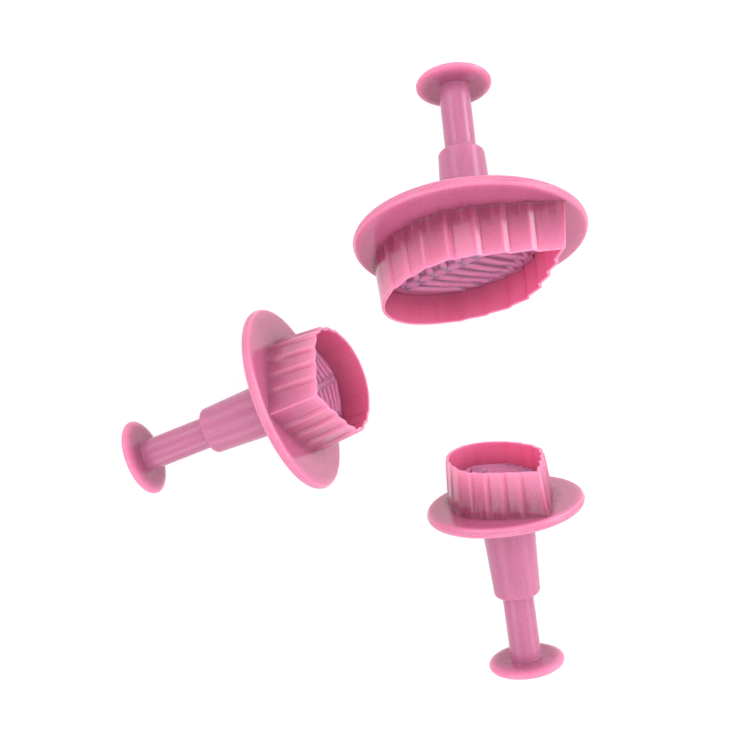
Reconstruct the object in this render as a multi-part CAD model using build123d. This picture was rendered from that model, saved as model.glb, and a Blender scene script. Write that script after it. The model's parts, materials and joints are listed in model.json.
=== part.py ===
from build123d import *
from math import atan2, asin, cos, degrees, hypot, pi, radians, sin, sqrt, tan
import os

os.makedirs("parts", exist_ok=True)

# A graded set of three spring plungers for cutting leaves out of sugar paste.
# Each one is a fluted leaf ring on a round flange with a barrel behind it, a plunger
# that slides in the barrel, a veined plate on the plunger's inner end that presses the
# veins and pushes the leaf out, and a coil spring that draws the plate back.
# The three lie on a table, each on the rims of its flange and its knob.
# Lengths are in millimetres, angles in degrees.

# Leaf, as cut: from tip to base, and across at the widest place
large_leaf_length = 48.8
large_leaf_width = 31.0
medium_leaf_length = 38.8
medium_leaf_width = 24.9
small_leaf_length = 31.9
small_leaf_width = 21.2

# Ring height, from the flange's face to the cutting edge
large_ring_height = 11.2
medium_ring_height = 11.3
small_ring_height = 10.4

# How deep each veined plate lies below the cutting edge at rest
large_plate_recess = 6.5
medium_plate_recess = 6.1
small_plate_recess = 4.6

# Place of each flange's back on the table, the way its barrel points away from, and how
# far its leaf is turned in the flange
large_place_x = -9.2
large_place_y = 21.2
large_heading = -85.7
large_leaf_turn = 39.2
medium_place_x = -50.9
medium_place_y = -17.3
medium_heading = 21.9
medium_leaf_turn = 93.0
small_place_x = -0.2
small_place_y = -43.0
small_heading = 99.0
small_leaf_turn = 117.5

# Leaf outline: how the smooth side curve leaves the tip and reaches the widest place,
# as shares of half the leaf, and its saw teeth, which point to the tip
tip_reach_share = 0.35
tip_rise_share = 0.38
shoulder_reach_share = 0.72
tooth_count = 7
toothed_share = 0.79
tooth_step_share = 0.30
tooth_depth_share = 0.15
tooth_fade_shares = (1.0, 1.0, 1.0, 0.9, 0.75, 0.6, 0.45)
tooth_edge_radius = 0.3

# Ring wall: thin at the cutting edge and thicker towards the flange
cutting_wall = 0.75
ring_draft = 4.8

# Flange, with the round of its edge and the part of it outside the leaf's tip
flange_thickness = 2.35
flange_edge_radius = 0.95
flange_margin = 2.5

# Barrel behind the flange, and the bore that guides the shaft
barrel_length = 20.8
barrel_root_radius = 6.3
barrel_end_radius = 5.45
barrel_edge_radius = 0.9
shaft_clearance = 0.08

# Plunger: round shaft with a flat knob for the palm or finger, measured along the slide
# from the knob to the veins and from the knob to the shaft's inner end
knob_to_veins = 45.2
shaft_length = 25.6
shaft_radius = 3.65
shaft_end_chamfer = 0.4
knob_radius = 9.0
knob_thickness = 2.15
knob_edge_radius = 0.9
knob_root_radius = 0.4

# Veined plate: how far the press brings its veins out past the cutting edge, and its body
plate_overtravel = 1.0
plate_clearance = 0.3
plate_thickness = 2.2
stem_radius = 2.0
stem_clearance = 0.08
stem_seat_depth = 6.0
boss_radius = 3.6
boss_gap = 0.2

# Veins that stand up from the plate
vein_height = 0.8
midrib_width = 2.0
midrib_tip_width = 1.0
vein_width = 1.15
branch_width = 0.85
vein_margin = 1.3
vein_count = 9
vein_start_tip_share = 0.72
vein_start_base_share = -0.72
vein_end_tip_share = 0.12
vein_end_base_share = 0.88
vein_bow_share = 0.05
branch_start_share = 0.62
branch_end_share = 0.045

# Coil spring round the stem, between the flange's back and the shaft's inner end
spring_wire = 0.6
spring_turns = 7
spring_bore_clearance = 0.3
spring_end_gap = 0.05


def leaf_side(length, width):
    """The smooth edge of one half of a leaf, from its tip on +X round to its base on -X."""
    half_length = length / 2
    half_width = width / 2
    tip_handle = (half_length * (1 - tip_reach_share), half_width * tip_rise_share)
    shoulder_handle = (half_length * (1 - shoulder_reach_share), half_width)
    front = Bezier((half_length, 0), tip_handle, shoulder_handle, (0, half_width))
    back = EllipticalCenterArc((0, 0), half_length, half_width, 90, arc_size=90)
    return Wire([front, back])


def beside(side, distance, out):
    """The point at a distance along the side, moved outwards from the leaf by out."""
    point = side.position_at(distance, position_mode=PositionMode.LENGTH)
    along = side.tangent_at(distance, position_mode=PositionMode.LENGTH)
    outward = Vector(along.Y, -along.X, 0)
    return point + outward * out


def leaf_outline(length, width, inset=0):
    """The toothed leaf, or the same leaf with its edge moved in by inset.

    A tooth rises from its notch by a short step and falls back slowly to the next notch.
    """
    side = leaf_side(length, width)
    pitch = side.length * toothed_share / (tooth_count + 1)
    points = []
    for tooth in range(tooth_count):
        notch = pitch * (tooth + 1)
        depth = pitch * tooth_depth_share * tooth_fade_shares[tooth % len(tooth_fade_shares)]
        points.append(beside(side, notch, -inset))
        points.append(beside(side, notch + pitch * tooth_step_share, depth - inset))
    tip = side @ 0
    first_notch = beside(side, pitch, 0)
    tip_half_angle = atan2(first_notch.Y, tip.X - first_notch.X)
    tip = tip - Vector(inset / sin(tip_half_angle), 0, 0)
    last_on_side = beside(side, pitch * (tooth_count + 1), 0)
    last_angle = atan2(last_on_side.Y / width, last_on_side.X / length)
    base_reach = length / 2 - inset
    base_rise = width / 2 - inset
    last = Vector(base_reach * cos(last_angle), base_rise * sin(last_angle), 0)
    points.append(last)
    other_side = [Vector(point.X, -point.Y, 0) for point in reversed(points)]
    teeth = Polyline(*other_side, tip, *points)
    base = EllipticalCenterArc(
        (0, 0), base_reach, base_rise, degrees(last_angle),
        arc_size=2 * (180 - degrees(last_angle)),
    )
    sharp = Face(Wire([*teeth.edges(), base]))
    corners = sharp.vertices().filter_by_position(
        Axis.X, last.X + tooth_edge_radius, length, inclusive=(False, False)
    )
    return sharp.fillet_2d(tooth_edge_radius, corners)


def shaft_showing(ring_height, recess):
    """How much of the shaft stands out behind the barrel when the plate is at rest."""
    return knob_to_veins - (barrel_length + flange_thickness + ring_height - recess)


def shaft_inner_end(ring_height, recess):
    """Height of the shaft's inner end, measured from the flange's back."""
    return shaft_length - barrel_length - shaft_showing(ring_height, recess)


def cutter_body(length, width, turn, ring_height):
    """Ring, flange and barrel in one moulding, with the flange's back on the XY plane."""
    flange_radius = length / 2 + flange_margin
    flange = Cylinder(flange_radius, flange_thickness, align=(Align.CENTER, Align.CENTER, Align.MIN))
    flange = fillet(flange.edges().filter_by(GeomType.CIRCLE), flange_edge_radius)

    barrel = Pos(0, 0, -barrel_length) * Cone(
        barrel_end_radius, barrel_root_radius, barrel_length,
        align=(Align.CENTER, Align.CENTER, Align.MIN),
    )
    barrel = fillet(barrel.edges().filter_by(GeomType.CIRCLE).sort_by(Axis.Z)[0], barrel_edge_radius)

    edge_height = flange_thickness + ring_height
    root_spread = ring_height * tan(radians(ring_draft))
    ring_root = Pos(0, 0, flange_thickness) * leaf_outline(length, width, -root_spread)
    ring_edge = Pos(0, 0, edge_height) * leaf_outline(length, width)
    ring = loft([ring_root, ring_edge], ruled=True)
    cavity = extrude(
        Pos(0, 0, flange_thickness) * leaf_outline(length, width, cutting_wall), ring_height
    )
    ring = Rot(0, 0, turn) * (ring - cavity)

    bore_radius = shaft_radius + shaft_clearance
    bore = Cylinder(bore_radius, barrel_length, align=(Align.CENTER, Align.CENTER, Align.MAX))
    stem_hole = Cylinder(
        stem_radius + stem_clearance, flange_thickness,
        align=(Align.CENTER, Align.CENTER, Align.MIN),
    )
    return flange + barrel + ring - bore - stem_hole


def plunger(ring_height, recess):
    """Knob and shaft in one moulding, with a socket for the plate's stem at the inner end."""
    inner_end = shaft_inner_end(ring_height, recess)
    knob_face = inner_end - shaft_length
    shaft = Pos(0, 0, knob_face) * Cylinder(
        shaft_radius, shaft_length, align=(Align.CENTER, Align.CENTER, Align.MIN)
    )
    shaft = chamfer(shaft.edges().filter_by(GeomType.CIRCLE).sort_by(Axis.Z)[-1], shaft_end_chamfer)
    knob = Pos(0, 0, knob_face) * Cylinder(
        knob_radius, knob_thickness, align=(Align.CENTER, Align.CENTER, Align.MAX)
    )
    knob = fillet(knob.edges().filter_by(GeomType.CIRCLE), knob_edge_radius)
    body = shaft + knob
    root = body.edges().filter_by(GeomType.CIRCLE).filter_by(
        lambda edge: abs(edge.radius - shaft_radius) < shaft_end_chamfer / 2
        and abs(edge.center().Z - knob_face) < shaft_end_chamfer / 2
    )
    body = fillet(root, knob_root_radius)
    socket = Pos(0, 0, inner_end) * Cylinder(
        stem_radius, stem_seat_depth, align=(Align.CENTER, Align.CENTER, Align.MAX)
    )
    return body - socket


def vein_pattern(length, width):
    """The raised veins of a leaf as flat faces: midrib, side veins and their branches."""
    side = leaf_side(length, width)
    half_length = length / 2
    midrib_base = -half_length + vein_margin + cutting_wall + midrib_width
    midrib_tip = half_length - 2 * (vein_margin + cutting_wall)
    midrib = make_hull(
        (Pos(midrib_base, 0) * Circle(midrib_width / 2)).edges()
        + (Pos(midrib_tip, 0) * Circle(midrib_tip_width / 2)).edges()
    )
    faces = [midrib]
    inset = cutting_wall + plate_clearance + vein_margin
    for vein in range(vein_count):
        share = vein / max(vein_count - 1, 1)
        start_share = vein_start_tip_share + (vein_start_base_share - vein_start_tip_share) * share
        start = Vector(half_length * start_share, 0)
        end_share = vein_end_tip_share + (vein_end_base_share - vein_end_tip_share) * share
        end_share = end_share * toothed_share
        end = beside(side, side.length * end_share * (1 - branch_end_share), -inset)
        reach = end - start
        across = Vector(-reach.Y, reach.X, 0)
        middle = (start + end) / 2 + across * vein_bow_share
        stroke = ThreePointArc(start, middle, end)
        fork = stroke @ branch_start_share
        branch_end = beside(side, side.length * (end_share + branch_end_share), -inset)
        branch = Line(fork, branch_end)
        faces.append(SlotArc(stroke, vein_width))
        faces.append(SlotArc(branch, branch_width))
    upper = Sketch() + faces
    return upper + mirror(upper, about=Plane.XZ)


def embossing_plate(length, width, turn, ring_height, recess):
    """Veined plate with the stem that is pressed into the shaft's socket."""
    face_height = flange_thickness + ring_height - recess - vein_height
    back_height = face_height - plate_thickness
    outline = leaf_outline(length, width, cutting_wall + plate_clearance)
    plate = extrude(Pos(0, 0, back_height) * outline, plate_thickness)
    veins = extrude(Pos(0, 0, face_height) * vein_pattern(length, width), vein_height)
    plate = Rot(0, 0, turn) * (plate + veins)
    boss_height = back_height - flange_thickness - boss_gap
    boss = Pos(0, 0, back_height) * Cylinder(
        boss_radius, boss_height, align=(Align.CENTER, Align.CENTER, Align.MAX)
    )
    stem_end = shaft_inner_end(ring_height, recess) - stem_seat_depth
    stem = Pos(0, 0, stem_end) * Cylinder(
        stem_radius, back_height - stem_end, align=(Align.CENTER, Align.CENTER, Align.MIN)
    )
    return plate + boss + stem


def coil_spring(ring_height, recess):
    """Round wire in even turns about Z, each half turn as two arcs that meet smoothly."""
    bore_radius = shaft_radius + shaft_clearance
    coil_radius = bore_radius - spring_bore_clearance - spring_wire / 2
    bottom = shaft_inner_end(ring_height, recess) + spring_end_gap + spring_wire / 2
    climb = -bottom - spring_end_gap - spring_wire / 2
    slope = climb / (2 * pi * coil_radius * spring_turns)
    run = 1 / sqrt(1 + slope * slope)
    halves = 2 * spring_turns
    places = []
    ways = []
    for half in range(halves + 1):
        angle = pi * half
        height = bottom + climb * half / halves
        places.append(Vector(coil_radius * cos(angle), coil_radius * sin(angle), height))
        ways.append(Vector(-sin(angle) * run, cos(angle) * run, slope * run))
    edges = []
    for half in range(halves):
        edges = edges + biarc(places[half], ways[half], places[half + 1], ways[half + 1])
    path = Wire(edges)
    section = Plane(places[0], z_dir=ways[0]) * Circle(spring_wire / 2)
    gap = climb / spring_turns - spring_wire
    print("spring turns", spring_turns, "gap between turns", round(gap, 3))
    return sweep(section, path=path)


def biarc(start, start_way, end, end_way):
    """Two arcs from start to end that leave and arrive along the given directions."""
    span = end - start
    both = start_way + end_way
    square = 2 * (1 - start_way.dot(end_way))
    half = span.dot(both)
    handle = (sqrt(half * half + square * span.dot(span)) - half) / square
    joint = (start + end + (start_way - end_way) * handle) * 0.5
    joint_way = (joint - start) * (1 / handle) - start_way
    first = TangentArc(start, joint, tangent=start_way)
    second = TangentArc(joint, end, tangent=joint_way)
    return [first, second]


def lying_place(x, y, heading, length, showing):
    """Where a cutter lies when the back rims of its flange and knob touch the table."""
    flange_reach = length / 2 + flange_margin - flange_edge_radius
    knob_reach = knob_radius - knob_edge_radius
    between = barrel_length + showing + knob_thickness + flange_edge_radius - knob_edge_radius
    fall = flange_reach - knob_reach
    tilt = atan2(fall, between) + asin((flange_edge_radius - knob_edge_radius) / hypot(fall, between))
    turn = radians(heading)
    height = flange_reach * cos(tilt) + flange_edge_radius * (1 - sin(tilt))
    way = (cos(tilt) * cos(turn), cos(tilt) * sin(turn), sin(tilt))
    return Plane(origin=(x, y, height), x_dir=(-sin(turn), cos(turn), 0), z_dir=way)


cutters = {
    "large": (large_leaf_length, large_leaf_width, large_leaf_turn, large_ring_height,
              large_plate_recess, large_place_x, large_place_y, large_heading),
    "medium": (medium_leaf_length, medium_leaf_width, medium_leaf_turn, medium_ring_height,
               medium_plate_recess, medium_place_x, medium_place_y, medium_heading),
    "small": (small_leaf_length, small_leaf_width, small_leaf_turn, small_ring_height,
              small_plate_recess, small_place_x, small_place_y, small_heading),
}

nodes = {}
for name, sizes in cutters.items():
    length, width, turn, ring_height, recess, x, y, heading = sizes
    place = lying_place(x, y, heading, length, shaft_showing(ring_height, recess)).location
    nodes[name + "_cutter_body"] = place * cutter_body(length, width, turn, ring_height)
    nodes[name + "_plunger"] = place * plunger(ring_height, recess)
    nodes[name + "_embossing_plate"] = place * embossing_plate(
        length, width, turn, ring_height, recess
    )
    nodes[name + "_spring"] = place * coil_spring(ring_height, recess)

# The set's origin is on the table, under the middle of all three cutters
whole = Compound(children=[Part(node) for node in nodes.values()]).bounding_box()
middle = Pos(-whole.center().X, -whole.center().Y, 0)
for node_name, node in nodes.items():
    export_step(middle * node, "parts/" + node_name + ".step")
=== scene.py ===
import json

import bpy
import numpy as np
from bpy.props import FloatProperty, FloatVectorProperty, IntProperty, PointerProperty
from mathutils import Matrix, Vector


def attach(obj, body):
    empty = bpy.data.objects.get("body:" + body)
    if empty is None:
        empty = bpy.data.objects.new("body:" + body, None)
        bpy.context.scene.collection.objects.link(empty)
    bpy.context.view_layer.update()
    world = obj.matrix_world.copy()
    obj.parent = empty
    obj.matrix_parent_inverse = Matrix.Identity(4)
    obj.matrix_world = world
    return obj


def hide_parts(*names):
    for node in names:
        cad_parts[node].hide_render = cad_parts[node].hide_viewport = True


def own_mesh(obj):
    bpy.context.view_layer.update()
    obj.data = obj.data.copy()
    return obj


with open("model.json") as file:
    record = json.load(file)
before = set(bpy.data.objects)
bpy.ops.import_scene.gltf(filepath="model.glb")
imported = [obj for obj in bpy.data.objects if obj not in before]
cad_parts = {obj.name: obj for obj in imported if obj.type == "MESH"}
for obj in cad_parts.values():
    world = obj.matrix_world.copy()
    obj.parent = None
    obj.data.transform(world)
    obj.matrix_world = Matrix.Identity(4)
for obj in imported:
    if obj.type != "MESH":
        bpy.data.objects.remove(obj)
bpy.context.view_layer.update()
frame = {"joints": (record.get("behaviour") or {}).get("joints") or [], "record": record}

bl_info = {
    "name": "Leaf plunger cutters",
    "version": (1, 0, 0),
    "blender": (4, 5, 0),
    "location": "3D View > Sidebar > Cutters",
    "description": "Moulded plungers that cut, vein and push out leaves of sugar paste",
    "category": "Add Mesh",
}

MM = 0.001
CUTTERS = ("large", "medium", "small")
ROOT_BODY = "cutter_bodies"

# Steps along the surfaces
OUTLINE_STEPS = 1024
ROUND_STEPS = 192
ARC_STEPS = 10
ROOT_STEPS = 9

# Turned profiles that end at the axis keep this far from it
AXIS_GAP = 0.02 * MM

# Level of painted light and shade on a wall of usual thickness, from painted shade at 0
# to painted light at 1, partly following how thick the plastic is
MIDDLING = 0.45

# The ring's wall from its root at 0 to its edge at 1: its outside's level of painted
# shading, with painted shade at the root, where the flange takes light away and the wall
# is thicker, and painted light at the thin edge; how much painted glow its inside shows;
# how much painted light makes its inside paler; and how strong the painted highlights on
# the teeth's crests and the painted shade in their notches are
WALL_PAINTED_SHADING = ((0, 0.15, 0.4, 0.6, 0.88, 1), (0, 0.03, 0.24, 0.45, 0.74, 1))
WALL_GLOW = ((0, 0.3, 0.8, 0.97, 1), (0.5, 1, 0.9, 0.6, 0))
WALL_PAINTED_LIGHT = ((0.5, 1), (0, 0.3))
WALL_PAINTED_LINES = ((0, 0.2, 0.45), (0.06, 0.15, 0.3))

# Bends of the leaf's outline are softened over the first length and measured in the second
BEND_SOFTNESS = 0.3 * MM
BEND_SCALE = 0.6 * MM

# Colours that are the same on every cutter
DUST_COLOR = (0.9, 0.75, 0.8)
STEEL_GREYS = ((0.42, 0.41, 0.40), (0.70, 0.70, 0.71))

# The photograph's camera: its place over the table, its lens, and how far it leans
CAMERA_PLACE = (-3.18 * MM, 6.09 * MM, 420.13 * MM)
CAMERA_LENS = 83.28
CAMERA_SENSOR = 36
CAMERA_LEAN_X = -0.9652
CAMERA_LEAN_Y = -1.2044

# Brightness of the table to the camera, a little over white, and half the table's width
TABLE_WHITE = 1.06
TABLE_REACH = 3.0

# Soft lamps: azimuth, elevation and spread in degrees, and share of the full radiance
LAMPS = (
    (33, 12, 22, 1), (138, 27, 17, 0.55), (-148, 32, 22, 0.35), (-5, 28, 24, 0.5),
    (-88, 18, 24, 0.35), (80, 75, 30, 0.2),
)


# Sizes


def length(name, description, value):
    """A length of the object in metres, from a value in millimetres."""
    return FloatProperty(
        name=name, description=description, default=value * MM, unit="LENGTH", precision=5
    )


def share(name, description, value):
    """A share of another size, between nothing and all of it."""
    return FloatProperty(
        name=name, description=description, default=value, min=-1, max=1, subtype="FACTOR"
    )


def cutter_sizes(
    title, leaf_length, leaf_width, leaf_turn, ring_height, plate_recess, glow, shade,
):
    """A PropertyGroup for one cutter of the set, whose defaults are its own sizes."""
    sizes = {
        "leaf_length": length("Leaf length", "Leaf from tip to base", leaf_length),
        "leaf_width": length("Leaf width", "Leaf across at its widest", leaf_width),
        "leaf_turn": FloatProperty(
            name="Leaf turn", description="How far the leaf is turned in its flange",
            default=np.radians(leaf_turn), subtype="ANGLE",
        ),
        "ring_height": length("Ring height", "Flange's face to cutting edge", ring_height),
        "plate_recess": length("Plate recess", "Cutting edge down to the veins", plate_recess),
        # Glow is painted light on the ring's inside, and shade is how much painted shade the
        # ring's root gets
        "glow": share("Glow", "Light that the ring's inside gets through its wall", glow),
        "shade": share("Shade", "How thick the plastic looks at the ring's root", shade),
    }
    return type(title, (bpy.types.PropertyGroup,), {"__annotations__": sizes})


LargeCutterSizes = cutter_sizes("LargeCutterSizes", 48.8, 31.0, 39.2, 11.2, 6.5, 0.3, 1)
MediumCutterSizes = cutter_sizes("MediumCutterSizes", 38.8, 24.9, 93.0, 11.3, 6.1, 0.25, 0.5)
SmallCutterSizes = cutter_sizes("SmallCutterSizes", 31.9, 21.2, 117.5, 10.4, 4.6, 0.88, 1)


class LeafForm(bpy.types.PropertyGroup):
    """The shape that the leaves of all sizes share."""

    tip_reach: share("Tip reach", "Handle of the side at the tip, along the leaf", 0.35)
    tip_rise: share("Tip rise", "Handle of the side at the tip, across the leaf", 0.38)
    shoulder_reach: share("Shoulder reach", "Handle at the widest place", 0.72)
    teeth: IntProperty(name="Teeth", description="Saw teeth on each side", default=7, min=1)
    toothed: share("Toothed", "Share of each side that carries teeth", 0.79)
    tooth_step: share("Tooth step", "Share of a tooth that rises", 0.20)
    tooth_depth: share("Tooth depth", "Depth of a tooth, as a share of its length", 0.15)
    tooth_fade: share("Tooth fade", "Depth that the last tooth has left", 0.45)
    crest_radius: length("Crest radius", "Soft round of the teeth's crests", 0.7)
    notch_radius: length("Notch radius", "Sharp round of the notches and the tip", 0.12)
    wall: length("Cutting wall", "Thickness of the ring at its edge", 0.75)
    draft: FloatProperty(
        name="Draft", description="Slope of the ring's outside", default=np.radians(4.8),
        subtype="ANGLE",
    )
    edge_round: length("Edge round", "Round of the cutting edge", 0.22)
    root_round: length("Root round", "Hollow round where the ring meets the flange", 0.2)
    root_softness: length("Root softness", "Softness of the teeth at the root", 1.6)
    root_fade: length("Root fade", "Height over which the teeth grow from the root", 4.5)
    root_share: share("Root share", "How much softer the teeth are at the root", 0.5)
    inner_softness: share("Inner softness", "How much softer the teeth are inside", 0.95)


class MouldingSizes(bpy.types.PropertyGroup):
    """The round parts, which are alike on all sizes."""

    flange_margin: length("Flange margin", "Flange outside the leaf's tip", 2.5)
    flange_thickness: length("Flange thickness", "Thickness of the round flange", 2.35)
    flange_round: length("Flange round", "Round of the flange's rim", 0.95)
    barrel_length: length("Barrel length", "Flange's back to barrel's end", 20.8)
    barrel_root: length("Barrel root radius", "Barrel's radius at the flange", 6.3)
    barrel_end: length("Barrel end radius", "Barrel's radius at its end", 5.45)
    barrel_round: length("Barrel round", "Round of the barrel's end", 0.9)
    bore_clearance: length("Bore clearance", "Play of the shaft in the barrel", 0.08)
    knob_to_veins: length("Knob to veins", "Knob's shaft side to the plate's veins", 45.2)
    shaft_length: length("Shaft length", "Knob to the shaft's inner end", 25.6)
    shaft_radius: length("Shaft radius", "Radius of the plunger's shaft", 3.65)
    knob_radius: length("Knob radius", "Radius of the flat knob", 8.995)
    knob_thickness: length("Knob thickness", "Thickness of the knob", 2.15)
    knob_round: length("Knob round", "Round of the knob's rim", 0.9)
    knob_crown: length("Knob crown", "How far in the knob's shaft side is rounded", 2.6)
    parting_step: length("Parting step", "Height of the line where the mould parts", 0.1)
    gate_radius: length("Gate radius", "Dimple where the plastic ran in", 1.1)


class PlateForm(bpy.types.PropertyGroup):
    """The veined plate that the plunger carries in the ring."""

    clearance: length("Clearance", "Gap between plate and ring", 0.3)
    thickness: length("Thickness", "Thickness under the veins", 2.2)
    boss_radius: length("Boss radius", "Boss behind the plate", 3.6)
    boss_gap: length("Boss gap", "Gap from the boss to the flange", 0.2)
    stem_radius: length("Stem radius", "Stem behind the boss", 1.98)
    stem_clearance: length("Stem clearance", "Play of the stem in the flange", 0.1)
    stem_seat: length("Stem seat", "Stem inside the shaft's socket", 6.0)
    vein_height: length("Vein height", "How far the veins stand up", 0.8)
    vein_width: share("Vein width", "Width of a side vein over the leaf's length", 0.040)
    branch_width: share("Branch width", "Width of a vein's branch over that length", 0.029)
    midrib_width: share("Midrib width", "Midrib's width at the base over that length", 0.067)
    midrib_tip_width: share("Midrib tip width", "Its width at the tip over that length", 0.035)
    vein_margin: length("Vein margin", "Bare margin outside the veins", 1.3)
    veins: IntProperty(name="Veins", description="Veins on each side", default=9, min=1)
    start_tip: share("First start", "Where the vein next to the tip starts", 0.54)
    start_base: share("Last start", "Where the vein next to the base starts", -0.82)
    end_tip: share("First end", "Where the vein next to the tip ends", 0.24)
    end_base: share("Last end", "Where the vein next to the base ends", 0.88)
    vein_bow: share("Vein bow", "How far a vein bows out", 0.05)
    fork: share("Fork", "Where a vein's branch leaves it", 0.62)
    fork_spread: share("Fork spread", "How far the branch ends from it", 0.045)


class SpringSizes(bpy.types.PropertyGroup):
    """The coil that draws the plate back into the ring."""

    wire: length("Wire", "Diameter of the wire", 0.6)
    bore_gap: length("Bore gap", "Gap from the coil to the barrel's bore", 0.3)
    end_gap: length("End gap", "Gap at each end of the coil", 0.05)
    turns: IntProperty(name="Turns", description="Turns of the coil", default=7, min=2)


def color(name, description, value):
    """A colour, from its red, green and blue parts."""
    return FloatVectorProperty(
        name=name, description=description, default=value, min=0, max=1, subtype="COLOR"
    )


class PlasticLook(bpy.types.PropertyGroup):
    """Colours and finish of the pink plastic, and of its painted shade, light and glow."""

    # The first colour is painted shade, partly the deeper colour of thick plastic; the third is
    # painted light coming through thin plastic; the fourth is painted glow on the inside
    shaded_pink: color("Deep pink", "The plastic where it is thick", (0.29, 0.05, 0.11))
    pink: color("Pink", "The plastic of a usual wall", (0.46, 0.118, 0.23))
    lit_pink: color("Thin pink", "The plastic where light comes through", (0.68, 0.22, 0.37))
    glow_pink: color("Glow pink", "The ring's inside, lit through its wall", (0.71, 0.17, 0.35))
    mauve: color("Mauve", "The plastic of the plates", (0.58, 0.174, 0.325))
    dull_pink: color("Dull pink", "The plastic of barrels and shafts", (0.43, 0.132, 0.245))
    roughness: share("Roughness", "Gloss of the moulding", 0.16)
    relief: length("Relief", "Depth of the surface's faint waves", 0.03)


class StudioLook(bpy.types.PropertyGroup):
    """Soft lamps all round and a white table."""

    lamps: FloatProperty(name="Lamps", description="Radiance in the middle of a lamp", default=4.5)
    sky: FloatProperty(name="Sky", description="Light from overhead", default=1)
    horizon: FloatProperty(
        name="Horizon", description="Light from the horizon, and from the table in mirrors",
        default=0.96,
    )
    overhead: FloatProperty(
        name="Overhead lamp", description="Radiance of the broad lamp overhead", default=1.85,
    )
    shadow: share("Shadow", "How much of its shadow the white table shows", 0.3)


# Curves and surfaces


def straight(start, end, steps=2):
    """Points on a straight line, from start to end."""
    return np.linspace(start, end, steps)


def arc(centre, radius, first, last, steps=ARC_STEPS):
    """Points on a circle round centre, from the first angle to the last, in degrees."""
    angle = np.radians(np.linspace(first, last, steps))
    return np.asarray(centre) + radius * np.column_stack([np.cos(angle), np.sin(angle)])


def parted_rim(radius, low, high, rounding, step):
    """Outer rim of a disc: a quarter round at each edge and a fine ridge halfway up.

    The ridge rises and falls again over a stretch twice as wide as it is high, and only
    its top reaches the full radius.
    """
    wall = radius - step
    middle = (low + high) / 2
    rise = np.linspace(-2, 2, 9)
    ridge = np.column_stack([wall + step * np.exp(-rise**2 * 1.5), middle + step * 1.6 * rise])
    return np.concatenate([
        arc((wall - rounding, low + rounding), rounding, -90, 0),
        ridge,
        arc((wall - rounding, high - rounding), rounding, 0, 90),
    ])


def turned(profile, looped):
    """Surface of a profile of (radius, height) turned round Z, as rows of points.

    Point = (radius cos angle, radius sin angle, height).
    """
    angle = np.linspace(0, 2 * np.pi, ROUND_STEPS, endpoint=False)
    radius, height = np.asarray(profile).T
    rows = np.stack([
        radius[:, None] * np.cos(angle), radius[:, None] * np.sin(angle),
        np.broadcast_to(height[:, None], (len(height), ROUND_STEPS)),
    ], axis=-1)
    return rows, looped


def grid_mesh(rows, looped):
    """Points and faces of a grid whose rows are closed curves.

    A looped grid's last row joins its first. Otherwise both end rows are closed by a fan to
    their middle. Faces are turned to point outwards, by the sign of the enclosed volume.
    """
    row_count, step_count = rows.shape[:2]
    points = rows.reshape(-1, 3)
    at = np.arange(row_count * step_count).reshape(row_count, step_count)
    here = at if looped else at[:-1]
    above = np.roll(at, -1, axis=0) if looped else at[1:]
    beside = np.roll(here, -1, axis=1)
    corner = np.roll(above, -1, axis=1)
    faces = np.stack([here, beside, corner, above], axis=-1).reshape(-1, 4)
    triangles = np.concatenate([faces[:, [0, 1, 2]], faces[:, [0, 2, 3]]])
    if not looped:
        middles = rows[[0, -1]].mean(axis=1)
        low, high = len(points), len(points) + 1
        points = np.concatenate([points, middles])
        first, last = at[0], at[-1]
        base = np.stack([np.roll(first, -1), first, np.full_like(first, low)], axis=-1)
        top = np.stack([last, np.roll(last, -1), np.full_like(last, high)], axis=-1)
        triangles = np.concatenate([triangles, base, top])
        fans = np.concatenate([base, top])
    else:
        fans = np.zeros((0, 3), int)
    a, b, c = (points[triangles[:, i]] for i in range(3))
    if np.einsum("ij,ij->", a, np.cross(b, c)) < 0:
        faces, fans = faces[:, ::-1], fans[:, ::-1]
    return points, faces, fans


def build_mesh(name, surfaces, place, painted_shading):
    """One smooth mesh object from closed surfaces, put in its place by moving its points.

    Each point keeps its place in the cutter's own frame as the attribute local. Two more
    attributes hold its level of painted light and shade, from painted shade at 0 to painted
    light at 1, which partly follows how thick the plastic is, and its glow, painted light
    that comes through the wall to the eye.
    """
    points, quads, fans, start = [], [], [], 0
    for rows, looped in surfaces:
        own_points, own_quads, own_fans = grid_mesh(rows, looped)
        points.append(own_points)
        quads.append(own_quads + start)
        fans.append(own_fans + start)
        start += len(own_points)
    points = np.concatenate(points)
    quads, fans = np.concatenate(quads), np.concatenate(fans)
    mesh = bpy.data.meshes.new(name)
    mesh.vertices.add(len(points))
    turn = np.array(place.to_3x3())
    mesh.vertices.foreach_set("co", (points @ turn.T + np.array(place.translation)).ravel())
    mesh.loops.add(quads.size + fans.size)
    mesh.loops.foreach_set("vertex_index", np.concatenate([quads.ravel(), fans.ravel()]))
    mesh.polygons.add(len(quads) + len(fans))
    starts = np.concatenate([
        np.arange(len(quads)) * 4, quads.size + np.arange(len(fans)) * 3,
    ])
    mesh.polygons.foreach_set("loop_start", starts)
    mesh.polygons.foreach_set("use_smooth", np.ones(len(starts), bool))
    mesh.update(calc_edges=True)
    mesh.validate()
    own = mesh.attributes.new("local", "FLOAT_VECTOR", "POINT")
    own.data.foreach_set("vector", points.astype(np.float32).ravel())
    # Painted light and shade, and painted glow, for each point
    for attribute, values in zip(("painted_shading", "glow"), painted_shading(points)):
        layer = mesh.attributes.new(attribute, "FLOAT", "POINT")
        layer.data.foreach_set("value", np.asarray(values, np.float32))
    piece = bpy.data.objects.new(name, mesh)
    bpy.context.scene.collection.objects.link(piece)
    return piece


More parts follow.
